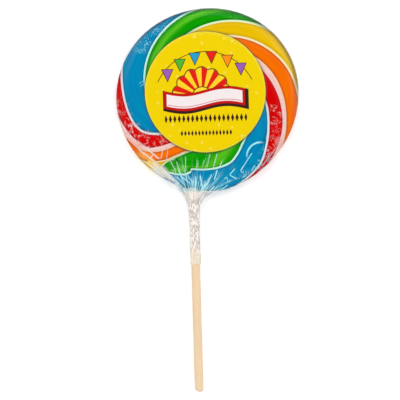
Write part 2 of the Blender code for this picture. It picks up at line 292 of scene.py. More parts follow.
def add_rope(bm, memory, both_sides, cells, crown, seed, wide=0, glows=NO_GLOW):
    """One closed rope between two spirals, from the back of the disc to its front."""
    old = set(bm.verts)
    grid = bmesh.ops.create_grid(bm, x_segments=len(ROWS) - 1, y_segments=cells, size=0.5)
    faces = list({face for vert in grid["verts"] for face in vert.link_faces})
    lifted = bmesh.ops.extrude_face_region(bm, geom=faces)
    front = {part for part in lifted["geom"] if isinstance(part, bmesh.types.BMVert)}
    sides, along, flow = rope_path(*both_sides)
    place = {}
    for vert in (vert for vert in bm.verts if vert not in old):
        row = round((vert.co.x + 0.5) * (len(ROWS) - 1))
        share = vert.co.y + 0.5
        radius = ROWS[row]
        low, high = sides[row]
        x, y = on_disc(radius, low + (high - low) * share)
        width = radius * (high - low) / max(1.0, float(flow[row]))
        height = rope_height(radius, share, along[row], crown, seed)
        vert.co = (x, y, MIDDLE_Z + (height if vert in front else -height))
        vert[memory["share"]] = share
        vert[memory["side_gap"]] = min(share, 1 - share) * width / MM
        vert[memory["wide"]] = wide
        vert[memory["glow"]] = (*Vector(glows[0]).lerp(Vector(glows[1]), share), 1.0)
        place[vert] = (float(along[row]) / UV_UNIT + ROPE_SHIFT * seed,
                       (share - 0.5) * width / UV_UNIT + (FRONT_SHIFT if vert in front else 0))
    for face in {face for vert in place for face in vert.link_faces}:
        for loop in face.loops:
            loop[memory["rope"]].uv = place[loop.vert]


# %% Put a mesh in order
def in_order(bm):
    """Sort points, edges and faces by where they are, so that every run stores them alike."""
    def corners(part):
        return sorted(vert.index for vert in part.verts)

    for parts, spot in ((bm.verts, lambda vert: tuple(vert.co)),
                        (bm.edges, corners), (bm.faces, corners)):
        rank = {part: number for number, part in enumerate(sorted(parts, key=spot))}
        parts.sort(key=rank.get)
        parts.index_update()


print("points are stored by x, then y, then z")


# %% Finish a piece
SHARP_FROM = 50


def finish_piece(name, bm, replaced):
    """Make a bmesh into a smooth object that rides on the lollipop and stands for CAD nodes."""
    bmesh.ops.recalc_face_normals(bm, faces=bm.faces)
    in_order(bm)
    mesh = bpy.data.meshes.new(name)
    bm.to_mesh(mesh)
    bm.free()
    mesh.shade_smooth()
    mesh.set_sharp_from_angle(angle=math.radians(SHARP_FROM))
    piece = bpy.data.objects.new(name, mesh)
    bpy.context.scene.collection.objects.link(piece)
    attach(piece, "root")
    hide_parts(*replaced)
    triangles = sum(len(face.vertices) - 2 for face in mesh.polygons)
    print(f"{name}: {triangles} triangles")
    return piece


# %% Make the ten coloured arms
ACROSS_CELLS = 14


def beside(index):
    """The colours before and after an arm."""
    return COLOURS_ROUND[index - 1], COLOURS_ROUND[(index + 1) % len(COLOURS_ROUND)]


def colour_rope(index):
    """A coloured arm, which runs right up to the white candy on both sides."""
    colour = COLOURS_ROUND[index]
    before, after = beside(index)

    def first_side(radius):
        gap = 0 if before == "white" else line_half_width(radius, index)
        return beside_edge(edges[index], radius, gap)

    def second_side(radius):
        gap = 0 if after == "white" else line_half_width(radius, index + 1)
        return beside_edge(edges[index + 1], radius, -gap)

    which = f"{colour}_{index // len(COLOUR_ORDER) + 1}"
    bm = bmesh.new()
    add_rope(bm, rope_memory(bm), (first_side, second_side), ACROSS_CELLS, CROWN, index)
    return finish_piece(f"rope_{which}", bm, [f"candy_{which}"])


ropes = {index: colour_rope(index) for index, colour in enumerate(COLOURS_ROUND)
         if colour != "white"}
print(len(ropes), "coloured ropes")

# %% [markdown]
# ## The white candy
# White runs through the whole pinwheel: two broad pale arms, a thin line between every
# other pair of colours, and the button at the centre where the ropes were pinched off.
# They are one piece, because they are one batch of candy. The lines lie a little lower
# than the ropes beside them, which gives the grooves a little shadow, and the ropes' finish
# adds painted shade beside them. White sugar lets light through, so each side of a line also
# remembers the glow of the rope beside it.


# %% The sides of the white arms and lines
def line_between(index):
    """The two sides of the thin line that follows an edge."""
    return (lambda radius: beside_edge(edges[index], radius, -line_half_width(radius, index)),
            lambda radius: beside_edge(edges[index], radius, line_half_width(radius, index)))


def broad_arm(index):
    """The two sides of a broad white arm."""
    return (lambda radius: edge_angle(edges[index], radius),
            lambda radius: edge_angle(edges[index + 1], radius))


print(COLOURS_ROUND.count("white"), "broad white arms")


# %% The button at the centre
HUB_OVERLAP = 1.04
HUB_WALL = 3.8 * MM
HUB_DOME = 0.75 * MM
HUB_SIDES = 48
MERGE = 0.001 * MM


def spin_round(bm, profile_points, centre, axis, sides):
    """Spin a profile a full turn about an axis and merge what meets there."""
    verts = [bm.verts.new(point) for point in profile_points]
    outline = [bm.edges.new(pair) for pair in zip(verts, verts[1:])]
    bmesh.ops.spin(bm, geom=verts + outline, cent=centre, axis=axis,
                   angle=2 * math.pi, steps=sides, use_merge=True)
    bmesh.ops.remove_doubles(bm, verts=bm.verts, dist=MERGE)


def add_hub(bm):
    """A low dome on each face, with a straight wall between."""
    points = [(HUB_RADIUS * HUB_OVERLAP * math.sin(a), HUB_WALL + HUB_DOME * math.cos(a))
              for a in np.radians(np.arange(0, 91, 10))]
    profile = points + [(radius, -height) for radius, height in reversed(points)]
    spin_round(bm, [(radius, 0, MIDDLE_Z + height) for radius, height in profile],
               (0, 0, 0), (0, 0, 1), HUB_SIDES)


bm = bmesh.new()
add_hub(bm)
print(len(bm.verts), "points in the button")

# %% Make the white candy
LINE_CROWN = 0.12 * MM
LINE_CELLS = 3
GLOW = {"yellow": (0.80, 0.76, 0.20), "orange": (0.92, 0.55, 0.23), "red": (0.88, 0.50, 0.53),
        "blue": (0.34, 0.78, 0.82), "green": (0.32, 0.84, 0.42)}
HUB_GLOW = (0.8, 0.78, 0.76, 1.0)
HUB_SIDE_GAP = 3.0

memory = rope_memory(bm)
for vert in bm.verts:
    vert[memory["side_gap"]] = HUB_SIDE_GAP
    vert[memory["glow"]] = HUB_GLOW
for index, colour in enumerate(COLOURS_ROUND):
    before, after = beside(index)
    if colour == "white":
        add_rope(bm, memory, broad_arm(index), ACROSS_CELLS, CROWN,
                 index, 1, (GLOW[before], GLOW[after]))
    elif before != "white":
        add_rope(bm, memory, line_between(index), LINE_CELLS, LINE_CROWN,
                 index, 0, (GLOW[before], GLOW[colour]))
white_candy = finish_piece("white_candy", bm, ["candy_white"])

# %% [markdown]
# ## The stick
# A turned dowel of pale birch. A profile is spun round the stick's axis, so both ends can be
# rounded over properly, and the radius wanders by a few hundredths of a millimetre as wood
# does. The foot is worn a little more on one side.

# %% The stick's profile
STICK_ROUNDING = 1.9 * MM
STICK_STEP = 4 * MM
STICK_WAIST = 0.995


def stick_profile():
    """Points (radius, y) from the foot to the end inside the candy."""
    foot, head = stick_low.y, stick_high.y
    turns = np.radians(np.linspace(0, 90, 8))
    body = STICK_RADIUS - STICK_ROUNDING
    points = [(0.0, foot)]
    points += [(body + STICK_ROUNDING * math.sin(turn),
                foot + STICK_ROUNDING * (1 - math.cos(turn))) for turn in turns]
    points += [(STICK_RADIUS * STICK_WAIST, float(y))
               for y in np.arange(foot + STICK_STEP, head - STICK_STEP, STICK_STEP)]
    points += [(body + STICK_ROUNDING * math.cos(turn),
                head - STICK_ROUNDING * (1 - math.sin(turn))) for turn in turns]
    return points + [(0.0, head)]


profile = stick_profile()
print(f"{len(profile)} points from the stick's foot to its head, "
      f"{1000 * (profile[-1][1] - profile[0][1]):.1f} mm apart")

# %% Spin the stick
STICK_SIDES = 48
WANDER = 0.012
WANDER_LENGTH = 25 * MM
WANDER_SEED = 4.0
WORN_LENGTH = 3 * MM
WORN_DEPTH = 0.9 * MM

bm = bmesh.new()
spin_round(bm, [(STICK_X + radius, y, MIDDLE_Z) for radius, y in profile],
           (STICK_X, 0, MIDDLE_Z), (0, 1, 0), STICK_SIDES)
for vert in bm.verts:
    aside = vert.co - Vector((STICK_X, vert.co.y, MIDDLE_Z))
    place = Vector((aside.x / STICK_RADIUS, vert.co.y / WANDER_LENGTH, WANDER_SEED))
    vert.co -= aside * WANDER * (noise.noise(place) + 1)
    near_foot = max(0.0, 1 - (vert.co.y - stick_low.y) / WORN_LENGTH)
    vert.co.y += WORN_DEPTH * near_foot * max(0.0, -aside.x / STICK_RADIUS)
dowel = finish_piece("dowel", bm, ["stick"])

# %% [markdown]
# ## The sticker
# A paper disc with a clear varnish. It is thin, but its edge still catches light, so it is
# a real sheet with a top, a rim and an underside, spun from its profile. It bows by a
# hair's breadth, as paper on a film bag does, so that its shine is not dead flat.

# %% Spin the sticker
SHEET_TOP = label_high.z - 0.02 * MM
SHEET_UNDER = label_low.z + 0.05 * MM
SHEET_SIDES = 128
SHEET_RINGS = 20
ROUNDED_EDGE = 0.05 * MM
TOP_BOW = 0.04 * MM
UNDER_BOW = 0.02 * MM


def bowed(radii, height, bow):
    """Points of a sheet that sinks by the bow towards its edge."""
    return [(float(radius), height - bow * (radius / LABEL_RADIUS) ** 2) for radius in radii]


bm = bmesh.new()
rings = np.linspace(0, LABEL_RADIUS - ROUNDED_EDGE, SHEET_RINGS)
edge_height = (SHEET_TOP + SHEET_UNDER - TOP_BOW - UNDER_BOW) / 2
sheet_profile = [*bowed(rings, SHEET_TOP, TOP_BOW), (LABEL_RADIUS, edge_height),
                 *bowed(rings[::-1], SHEET_UNDER, UNDER_BOW)]
centre = Vector((LABEL_CENTRE.x, LABEL_CENTRE.y, 0))
spin_round(bm, [centre + Vector((radius, 0, z)) for radius, z in sheet_profile],
           centre, (0, 0, 1), SHEET_SIDES)
sticker = finish_piece("sticker", bm, ["label"])

# %% [markdown]
# ## The film bag
# The film starts as a flat bag. Drawn over the disc and tied in round the stick, each thread
# of it runs from the end of the sleeve to the neck, over the front, round the far rim, back
# underneath and down the sleeve again. So the bag is one grid: its rows are those threads
# and its columns fan out from the neck. Folds then run the way real ones do.

# %% The sleeve on the stick
SLEEVE_STEPS = 44
NECK_Y = -64 * MM
SLEEVE_Y = (-104.3 * MM, -98 * MM, -90 * MM, -76.6 * MM, -72.8 * MM, -69 * MM, NECK_Y)
SLEEVE_HALF = (3.22 * MM, 3.1 * MM, 3.12 * MM, 3.1 * MM, 3.3 * MM, 3.6 * MM, 3.8 * MM)
SLEEVE_END = max(SLEEVE_Y[0], wrapper_low.y + 0.6 * MM)
print(f"the sleeve runs from {1000 * SLEEVE_END:.1f} to {1000 * NECK_Y:.1f} mm")

# %% The plan of a thread
THREADS = 150
OVER_STEPS = 84
FILM_GAP = 0.35 * MM
FAN_FROM = 155
FAN_TO = -147
CLOSER_AT_RIM = 1.8
WAIST = 0.27
WAIST_NEAR_SEAM = 3
SEAM_ONLY = 60


def sleeve_plan(turn):
    """A thread's x and y along the sleeve."""
    y = SLEEVE_END + (NECK_Y - SLEEVE_END) * np.linspace(0, 1, SLEEVE_STEPS)
    return STICK_X + np.interp(y, SLEEVE_Y, SLEEVE_HALF) * math.cos(turn), y


def fan_plan(share):
    """A thread's x and y from the sleeve's end to the far rim; share 0 and 1 are the seams."""
    turn = math.pi * share
    x_sleeve, y_sleeve = sleeve_plan(turn)
    angle = math.radians(FAN_FROM + (FAN_TO - FAN_FROM) * share)
    rim_x, rim_y = on_disc(DISC_RADIUS + FILM_GAP, angle)
    out = 1 - (1 - np.linspace(0, 1, OVER_STEPS + 1)[1:]) ** CLOSER_AT_RIM
    x = x_sleeve[-1] + (rim_x - x_sleeve[-1]) * out
    y = NECK_Y + (rim_y - NECK_Y) * out
    seam = abs(math.cos(turn))
    x = x - (x - STICK_X) * WAIST * seam ** WAIST_NEAR_SEAM * np.sin(np.pi * out)
    rim = [DISC_RADIUS + FILM_GAP + outline_swell(math.atan2(a, b)) for a, b in zip(x, y)]
    spread = (np.maximum(1.0, np.array(rim) / np.hypot(x, y)) - 1) * seam ** SEAM_ONLY
    return (np.concatenate((x_sleeve, x * (1 + spread))),
            np.concatenate((y_sleeve, y * (1 + spread))))


print(THREADS + 1, "threads of", SLEEVE_STEPS + OVER_STEPS, "points on each side")

# %% [markdown]
# ## Pull the film taut
# A thread has a sharp corner at the neck, which film can't have, so it is averaged along its
# length there. Where a thread spans a hollow, such as the one between the neck and the
# disc's edge, it is pulled straight. That is the upper hull of the heights under it, the
# same line that a string laid over them would take.

# %% Round the corner at the neck
NECK_SOFTNESS = 5.5 * MM


def soften(x, y):
    """Round the corner of a thread at the neck by averaging it along its length."""
    along = np.concatenate(((0,), np.cumsum(np.hypot(np.diff(x), np.diff(y)))))
    off_neck = np.abs(along - along[SLEEVE_STEPS - 1])
    near = NECK_SOFTNESS * np.clip(1 - off_neck / (3 * NECK_SOFTNESS), 0, 1)
    offsets = np.linspace(-1, 1, 9)
    soft_x = np.mean([np.interp(along + near * o, along, x) for o in offsets], axis=0)
    soft_y = np.mean([np.interp(along + near * o, along, y) for o in offsets], axis=0)
    return soft_x, soft_y, along


print(f"the middle thread is {1000 * soften(*fan_plan(0.5))[2][-1]:.0f} mm long on the front")


# %% Film over a hollow
def taut(along, heights):
    """The upper hull of the heights along a thread: where film spans a hollow."""
    hull = []
    for point in zip(along, heights):
        while len(hull) > 1:
            (ax, ay), (bx, by) = hull[-2], hull[-1]
            if (bx - ax) * (point[1] - ay) - (by - ay) * (point[0] - ax) < 0:
                break
            hull.pop()
        hull.append(point)
    return np.interp(along, [p[0] for p in hull], [p[1] for p in hull])


print("film over heights 0, 2, 1 and 3 lies at", *taut((0, 1, 2, 3), (0, 2, 1, 3)))


# %% Heights along a thread
FILM_SKIN = MIDDLE_Z - 0.12 * MM
NECK_HALF_HEIGHT = 4.3 * MM
NECK_SUDDENNESS = 6


def even_radius(x, y):
    """A point's distance from the centre, with the disc's unevenness taken out."""
    radius = math.hypot(x, y)
    swell = outline_swell(math.atan2(x, y)) / DISC_RADIUS
    return radius / (1 + swell * min(1.0, radius / DISC_RADIUS) ** SWELL_FADE)


def thread_heights(share, y, along, radii):
    """Half the bag's height at each point: round on the sleeve, taut over the candy."""
    lift = math.sin(math.pi * share)
    sleeve = np.interp(y[:SLEEVE_STEPS], SLEEVE_Y, SLEEVE_HALF)
    to_neck = np.linspace(0, 1, SLEEVE_STEPS) ** NECK_SUDDENNESS
    sleeve = (sleeve + (NECK_HALF_HEIGHT - sleeve[-1]) * to_neck) * lift
    over = np.array([half_thickness(radius, FLAT_RADIUS, DISC_RADIUS + FILM_GAP, FILM_SKIN, 0.0)
                     for radius in radii[SLEEVE_STEPS - 1:]])
    over[0] = sleeve[-1]
    return np.concatenate((sleeve, taut(along[SLEEVE_STEPS - 1:], over)[1:]))


print(f"the film lies {1000 * (MIDDLE_Z + FILM_SKIN):.2f} mm up on the candy's face")

# %% [markdown]
# ## Folds in the film
# Folds are deepest where the bag is gathered and die out over the face. They are noise that
# changes fast from thread to thread and slowly along a thread, so they run with the film.
# The sleeve is crimped as well, so it also has short crumples across. Moving the points is
# better than bump alone, because the bag's outline is creased too.

# %% How far the folds push the film
SLEEVE_TOP = NECK_Y - 4 * MM
GATHER_REACH = 42 * MM
FOLD = {"across": 70, "along": 30 * MM, "seed": 0.0, "side_seed": 9.0}
FINE_FOLD = {"across": 150, "along": 12 * MM, "seed": 5.0, "side_seed": 9.0}
CRUMPLE = {"across": 16, "along": 2.2 * MM, "seed": 2.0, "side_seed": 1.0}
SLEEVE_PUSH = (0.24 * MM, 0.12 * MM, 0.16 * MM)
NECK_PUSH = (0.34 * MM, 0.12 * MM)
FACE_PUSH = 0.05 * MM


def film_noise(kind, share, along, side):
    """Noise that is drawn out along the film's threads."""
    return noise.noise(Vector((share * kind["across"], along / kind["along"],
                               kind["seed"] + kind["side_seed"] * side)))


def fold_push(share, along, side, gather, y):
    """How far the folds push the film out or pull it in."""
    fold = film_noise(FOLD, share, along, side)
    fine = film_noise(FINE_FOLD, share, along, side)
    if y < SLEEVE_TOP:
        crumple = film_noise(CRUMPLE, share, along, side)
        return sum(push * part for push, part in zip(SLEEVE_PUSH, (fold, fine, crumple)))
    near = gather ** 2
    return near * (NECK_PUSH[0] * fold + NECK_PUSH[1] * fine) + FACE_PUSH * fold * (1 - near)


print(f"folds fade out {1000 * GATHER_REACH:.0f} mm from the neck")


# %% The film's threads
STICK_CLEARANCE = 0.05 * MM


def film_threads():
    """Arrays of plan, half height, distance along, gathering and distance past the rim."""
    threads = []
    for ray in range(THREADS + 1):
        x, y, along = soften(*fan_plan(ray / THREADS))
        radii = np.array([even_radius(*point) for point in zip(x, y)])
        height = thread_heights(ray / THREADS, y, along, radii)
        gather = np.clip(1 - (along - along[SLEEVE_STEPS - 1]) / GATHER_REACH, 0, 1)
        threads.append((x, y, height, along, gather, (radii - DISC_RADIUS) / MM))
    return threads


def folded(x, y, height, push, free):
    """A point of film after its fold; on the sleeve it moves out from the stick."""
    if y >= SLEEVE_TOP:
        return x, max(0.0, min(MIDDLE_Z, height + push * min(1.0, height / MM)))
    aside = Vector((x - STICK_X, height))
    if free:
        aside = aside.normalized() * max(aside.length + push, STICK_RADIUS + STICK_CLEARANCE)
    return STICK_X + aside.x, max(0.0, aside.y)


print(f"the sleeve keeps {1000 * STICK_CLEARANCE:.2f} mm off the wood")


# %% Make the film bag
def make_film():
    """The whole bag as one grid, with its side seams sewn up."""
    threads = film_threads()
    columns = SLEEVE_STEPS + OVER_STEPS
    cells = 2 * columns - 2
    bm = bmesh.new()
    gathered = bm.verts.layers.float.new("gather")
    past_rim = bm.verts.layers.float.new("past_rim")
    sheet = bm.loops.layers.uv.new("sheet")
    bmesh.ops.create_grid(bm, x_segments=cells, y_segments=THREADS, size=0.5)
    place = {}
    for vert in bm.verts:
        step = round((vert.co.x + 0.5) * cells)
        ray = round((vert.co.y + 0.5) * THREADS)
        side = 0 if step < columns else 1
        column = step if side == 0 else cells - step
        x, y, height, along, gather, past = (values[column] for values in threads[ray])
        share = ray / THREADS
        free = 0 < ray < THREADS and column < columns - 1
        push = fold_push(share, along, side, gather, y) if free else 0.0
        x, height = folded(x, y, height, push, free)
        vert.co = (x, y, MIDDLE_Z + (height if side == 0 else -height))
        vert[gathered] = gather
        vert[past_rim] = past
        place[vert] = (share + 2 * side, along / UV_UNIT)
    for face in bm.faces:
        for loop in face.loops:
            loop[sheet].uv = place[loop.vert]
    bmesh.ops.remove_doubles(bm, verts=bm.verts, dist=2 * MERGE)
    return finish_piece("film_bag", bm, ["wrapper"])


film_bag = make_film()

# %% [markdown]
# ## A small language for finishes
# Materials are built from nodes, but they read best as sums. Wire wraps one output socket:
# adding, multiplying or comparing wires adds the Math nodes that do it. Finish adds every
# other kind of node through one method, which sets the node's options first and its
# inputs after.


# %% Wires
class Wire:
    """One output of a node, with arithmetic."""

    def __init__(self, finish, socket):
        self.finish = finish
        self.socket = socket

    def sum(self, operation, *inputs):
        """A Math node of the given operation on these inputs."""
        made = self.finish.node("ShaderNodeMath", {"operation": operation},
                                dict(enumerate(inputs)))
        return made[0]

    def __add__(self, other):
        return self.sum("ADD", self, other)

    def __radd__(self, other):
        return self.sum("ADD", other, self)

    def __sub__(self, other):
        return self.sum("SUBTRACT", self, other)

    def __rsub__(self, other):
        return self.sum("SUBTRACT", other, self)

    def __mul__(self, other):
        return self.sum("MULTIPLY", self, other)

    def __rmul__(self, other):
        return self.sum("MULTIPLY", other, self)

    def __truediv__(self, other):
        return self.sum("DIVIDE", self, other)

    def __pow__(self, other):
        return self.sum("POWER", self, other)

    def __abs__(self):
        return self.sum("ABSOLUTE", self)

    def least(self, other):
        return self.sum("MINIMUM", self, other)

    def most(self, other):
        return self.sum("MAXIMUM", self, other)

    def sine(self):
        return self.sum("SINE", self)

    def step(self, low, high):
        """0 below low, 1 above high and smooth between; low may be the greater."""
        settings = {"interpolation_type": "SMOOTHSTEP"}
        rise = {"Value": self, "From Min": min(low, high), "From Max": max(low, high)}
        made = self.finish.node("ShaderNodeMapRange", settings, rise)["Result"]
        return made if high > low else 1 - made


print("a wire can:", ", ".join(name.strip("_") for name in vars(Wire)
                               if name != "__init__" and callable(vars(Wire)[name])))


# %% A material while its nodes are added
class Outputs:
    """A new node's outputs, each as a wire, by name or number."""

    def __init__(self, finish, node):
        self.finish = finish
        self.made = node

    def __getitem__(self, key):
        return Wire(self.finish, self.made.outputs[key])


class BareFinish:
    """A material that starts with no nodes and can be given any."""

    def __init__(self, name):
        self.material = bpy.data.materials.new(name)
        self.material.use_nodes = True
        self.tree = self.material.node_tree
        self.tree.nodes.clear()

    def node(self, kind, settings=None, inputs=None):
        """Add a node: its options are set first, then its inputs as wires or values."""
        made = self.tree.nodes.new(kind)
        for option, value in (settings or {}).items():
            setattr(made, option, value)
        for key, value in (inputs or {}).items():
            socket = made.inputs[key]
            if isinstance(value, Wire):
                self.tree.links.new(value.socket, socket)
            elif isinstance(value, tuple) and len(value) == 3 and socket.type == "RGBA":
                socket.default_value = (*value, 1.0)
            else:
                socket.default_value = value
        return Outputs(self, made)

    def principled(self, **inputs):
        """The Principled shader, its sockets named with _ for a space."""
        named = {key.replace("_", " "): value for key, value in inputs.items()}
        return self.node("ShaderNodeBsdfPrincipled", {}, named)["BSDF"]

    def surface(self, shader):
        """Join the last shader to the material's output."""
        self.node("ShaderNodeOutputMaterial", {}, {"Surface": shader})
        print(f"{self.material.name}: {len(self.tree.nodes)} nodes")
        return self.material


print("a bare finish adds nodes, a shader and its surface")


# %% The nodes used every day
class Finish(BareFinish):
    """A finish with short words for the nodes that come again and again."""

    def mix(self, factor, first, second):
        """Blend two colours."""
        return self.node("ShaderNodeMix", {"data_type": "RGBA"},
                         {0: factor, 6: first, 7: second})[2]

    def noise(self, vector, scale=1.0, detail=2.0, roughness=0.5):
        """Soft cloudy noise between 0 and 1."""
        return self.node("ShaderNodeTexNoise", {}, {
            "Vector": vector, "Scale": scale, "Detail": detail, "Roughness": roughness})["Fac"]

    def vector(self, x, y, z=0.0):
        """Three numbers as one vector."""
        return self.node("ShaderNodeCombineXYZ", {}, {0: x, 1: y, 2: z})[0]

    def parts(self, vector):
        """The three numbers in a vector."""
        split = self.node("ShaderNodeSeparateXYZ", {}, {0: vector})
        return split[0], split[1], split[2]

    def attribute(self, name):
        """A number that the points remember."""
        return self.node("ShaderNodeAttribute", {"attribute_name": name})["Fac"]

    def uv(self, name):
        """The place on a UV map, as three numbers."""
        return self.parts(self.node("ShaderNodeUVMap", {"uv_map": name})["UV"])

    def place(self):
        """The point's x, y and z on the object, in millimetres."""
        metres = self.node("ShaderNodeTexCoord")["Object"]
        scaled = self.node("ShaderNodeVectorMath", {"operation": "SCALE"},
                           {0: metres, "Scale": 1000.0})[0]
        return self.parts(scaled)

    def bump(self, height, strength, distance):
        """A normal that is tilted by the slope of a height."""
        return self.node("ShaderNodeBump", {}, {
            "Height": height, "Strength": strength, "Distance": distance})["Normal"]


print("a finish can:", ", ".join(name for name in vars(Finish) if name[0] != "_"))


# %% Dress a piece
def dress(piece, material):
    """Give a piece its one material."""
    piece.data.materials.clear()
    piece.data.materials.append(material)


print("finishes to make: five candies, white candy, wood, printed paper, film and floor")

# %% [markdown]
# ## Hard candy
# Pulled sugar is glassy, with satin streaks along the rope where air was folded in. The
# streaks are noise that is stretched along the rope's own coordinates. Close to a side the
# colour thins out over the white below it, and just inside that a strip of painted shade
# marks the groove. The rounded rim gets painted shade too, and a painted highlight runs in a
# broad band along the green. The streaks also feed a very shallow bump, which breaks up the
# shine.

# %% Candy finishes
CANDY = {
    "yellow": {"body": (0.73, 0.46, 0.001), "deep": (0.66, 0.40, 0.001),
               "pale": (0.76, 0.52, 0.012)},
    "orange": {"body": (0.82, 0.145, 0.0005), "deep": (0.76, 0.11, 0.0005),
               "pale": (0.84, 0.20, 0.004)},
    "red": {"body": (0.62, 0.0005, 0.001), "deep": (0.50, 0.0005, 0.0005),
            "pale": (0.68, 0.012, 0.016)},
    "blue": {"body": (0.0005, 0.228, 0.43), "deep": (0.0005, 0.165, 0.355),
             "pale": (0.006, 0.29, 0.51)},
    "green": {"body": (0.002, 0.31, 0.0005), "deep": (0.001, 0.215, 0.0005),
              "pale": (0.10, 0.49, 0.016)},
}
WHITE = (0.82, 0.80, 0.79)
BLACK = (0.0, 0.0, 0.0)
RIM_SHADE_HEIGHTS = (2.9, 0.5)
CANDY_BUMP = (0.3, 0.15 * MM)


def rope_streaks(finish):
    """Satin streaks along the rope, and slower clouds."""
    along, across, _ = finish.uv("rope")
    fine = finish.noise(finish.vector(along * 0.8, across * 16.0), 1.0, 3.0, 0.6)
    broad = finish.noise(finish.vector(along * 0.45, across * 4.0, 7.0), 1.0, 2.0, 0.5)
    cloud = finish.noise(finish.vector(along * 1.6, across * 2.2, 3.0), 1.0, 2.0, 0.5)
    return fine, broad, cloud


def rim_shade_share(finish):
    """0 on the faces and 1 at the rim, where the candy is seen edge on and gets painted shade."""
    height = finish.place()[2]
    return abs(height - MIDDLE_Z / MM).step(*RIM_SHADE_HEIGHTS)


print(len(CANDY), "colours of candy, each with three tones")


# %% The coloured ropes' finishes
def candy_finish(colour):
    """The finish of one colour of rope."""
    look = CANDY[colour]
    finish = Finish(f"candy_{colour}")
    fine, broad, cloud = rope_streaks(finish)
    share = finish.attribute("share")
    side_gap = finish.attribute("side_gap")
    rim = rim_shade_share(finish)
    base = finish.mix(broad.step(0.35, 0.7) * 0.55, look["body"], look["deep"])
    satin = fine.step(0.52, 0.8) * 0.35 + cloud.step(0.55, 0.8) * 0.2
    # Painted highlight: a broad pale band along the green rope.
    if colour == "green":
        band = 1 - abs(share - 0.34).step(0.02, 0.26)
        satin = (satin + band * (0.55 + fine.step(0.35, 0.65) * 0.45)).least(1.0)
    base = finish.mix(satin, base, look["pale"])
    # Painted shade: the rope darkens in a strip just inside each side, where the groove is.
    groove_shade = side_gap.step(1.5, 0.3) * (0.2 if colour == "yellow" else 0.5)
    base = finish.mix(groove_shade, base, finish.mix(0.75, look["deep"], BLACK))
    base = finish.mix(side_gap.step(0.28, 0.0) * 0.5, base, WHITE)
    # Painted shade: the rounded rim is darkened towards deep colour and black.
    base = finish.mix(rim * 0.6, base, finish.mix(0.7, look["deep"], BLACK))
    rough = 0.12 + fine * 0.12 + cloud * 0.06
    relief = fine * 0.6 + broad * 0.4
    shader = finish.principled(Base_Color=base, Roughness=rough, Specular_IOR_Level=0.045,
                               Normal=finish.bump(relief, *CANDY_BUMP))
    return finish.surface(shader)


candy_materials = {colour: candy_finish(colour) for colour in CANDY}
for index, rope in ropes.items():
    dress(rope, candy_materials[COLOURS_ROUND[index]])

# %% [markdown]
# ## White candy
# The broad white arms took up a blush from the red beside them, in streaks. The thin lines
# are lit through by the ropes beside them, which the colour attribute "glow" brings from the
# mesh. True light scattering would show the same, but it is slow and can't be baked.

# %% White candy's finish
BLUSH = ((0.77, 0.455, 0.42), (0.82, 0.53, 0.49), (0.84, 0.64, 0.63))
WHITE_RIM_SHADE = (0.42, 0.34, 0.30)

finish = Finish("candy_white")
fine, broad, cloud = rope_streaks(finish)
wide = finish.attribute("wide")
side_gap = finish.attribute("side_gap")
blush = finish.mix(broad.step(0.3, 0.7), BLUSH[0], BLUSH[1])
blush = finish.mix(fine.step(0.5, 0.85) * 0.5, blush, BLUSH[2])
glow = finish.node("ShaderNodeAttribute", {"attribute_name": "glow"})["Color"]
line = finish.mix(0.65 + cloud.step(0.3, 0.7) * 0.2, WHITE, glow)
body = finish.mix(wide * side_gap.step(0.0, 1.3), line, blush)
# Painted shade: the white candy's rounded rim is darkened towards brown grey.
body = finish.mix(rim_shade_share(finish) * 0.5, body, WHITE_RIM_SHADE)
shader = finish.principled(Base_Color=body, Roughness=0.16 + fine * 0.14,
                           Specular_IOR_Level=0.06,
                           Normal=finish.bump(fine * 0.6 + broad * 0.4, *CANDY_BUMP))
dress(white_candy, finish.surface(shader))

# %% [markdown]
# ## Wood
# Birch has long, fine grain: darker threads, small pores and a slow change of tone along
# the stick. All three are noise stretched a long way in Y. The foot shows its cut fibres,
# a little darker.

# %% The stick's finish
WOOD = {"body": (0.80, 0.60, 0.385), "grain": (0.75, 0.54, 0.335), "thread": (0.58, 0.41, 0.25),
        "tone": (0.83, 0.64, 0.43), "pore": (0.50, 0.34, 0.20), "cut": (0.56, 0.40, 0.25)}

finish = Finish("stick_wood")
x, y, z = finish.place()
grain = finish.noise(finish.vector(x * 3.2, y * 0.05, z * 3.2), 1.0, 4.0, 0.6)
thread = finish.noise(finish.vector(x * 9.0, y * 0.16, z * 9.0), 1.0, 2.0, 0.5)
tone = finish.noise(finish.vector(x * 0.3, y * 0.03, z * 0.3), 1.0, 2.0, 0.5)
pores = finish.node("ShaderNodeTexVoronoi", {"feature": "F1"}, {
    "Vector": finish.vector(x * 1.6, y * 0.22, z * 1.6), "Scale": 1.5})["Distance"]
wood = finish.mix(grain.step(0.35, 0.7), WOOD["body"], WOOD["grain"])
wood = finish.mix(thread.step(0.55, 0.75) * 0.3, wood, WOOD["thread"])
wood = finish.mix(tone.step(0.3, 0.75) * 0.4, wood, WOOD["tone"])
wood = finish.mix(pores.step(0.16, 0.05) * 0.3, wood, WOOD["pore"])
cut = (y - stick_low.y / MM).step(1.6, 0.2)
wood = finish.mix(cut * 0.45, wood, WOOD["cut"])
shader = finish.principled(Base_Color=wood, Roughness=0.52 + grain * 0.2,
                           Normal=finish.bump(thread + grain, 0.5, 0.08 * MM))
dress(dowel, finish.surface(shader))

# %% [markdown]
# ## The sticker's print
# A bright yellow ground with pale spots, a string of pennants, a half rosette, a blank ribbon
# and two rows of lozenges. Each motif is a mask: a number that is 1 inside the shape
# and 0 outside, built from distances on the sticker in millimetres. The colours are laid
# on one after another like inks. Masks stay sharp at any distance, which a painted picture
# would not.

# %% Masks for the print
SHARP = 0.12

finish = Finish("label_paper")
x, y, z = finish.place()
u = x - LABEL_CENTRE.x / MM
v = y - LABEL_CENTRE.y / MM


def inside(distance):
    """1 where a distance is below 0, with a soft printed edge."""
    return distance.step(SHARP, -SHARP)


